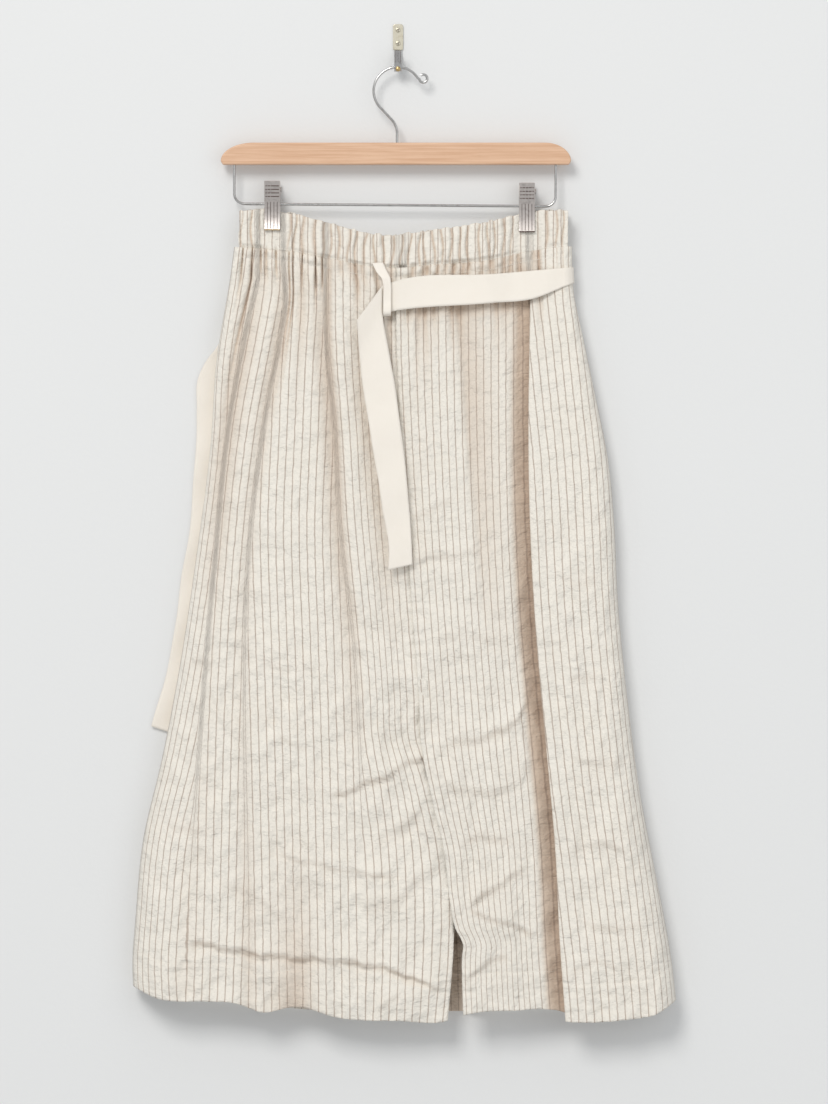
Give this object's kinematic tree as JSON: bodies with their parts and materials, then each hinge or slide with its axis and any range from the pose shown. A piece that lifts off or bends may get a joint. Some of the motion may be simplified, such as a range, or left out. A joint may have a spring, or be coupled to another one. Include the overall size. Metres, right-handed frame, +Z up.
{
  "type": "wrap skirt on a clip hanger and wall hook",
  "caption": "Midi wrap skirt with a gathered elastic waist, front vent and two tape ties, clipped to a wooden hanger on a small wall hook.",
  "frame": {"origin": "centre of the wall plate's back face, where the plate is screwed to the wall", "axes": "+Z up, +Y into the wall, so the skirt's front faces -Y, and +X to the right of a person who looks at the front"},
  "size_m": [0.5582, 0.048, 1.0259],
  "materials": {
    "striped_linen": "matte woven linen with thin brown-grey stripes",
    "twill_tape": "matte cream twill tape",
    "wood": "satin lacquered",
    "steel": "polished",
    "brass": "pale plated"
  },
  "bodies": {
    "root": {"waistband_front": "striped_linen", "waistband_back": "striped_linen", "front_panel_left": "striped_linen", "front_panel_right": "striped_linen", "back_panel": "striped_linen", "tie_right_across": "twill_tape", "tie_right_hanging": "twill_tape", "tie_loop": "twill_tape", "tie_left": "twill_tape", "hanger_bar": "wood", "hanger_hook": "steel", "drop_wire": "steel", "clip_left_front_jaw": "steel", "clip_left_back_jaw": "steel", "clip_left_roll": "steel", "clip_right_front_jaw": "steel", "clip_right_back_jaw": "steel", "clip_right_roll": "steel", "wall_plate": "brass", "wall_screw_upper": "steel", "wall_screw_lower": "steel", "wall_strap": "steel"}
  },
  "joints": []
}
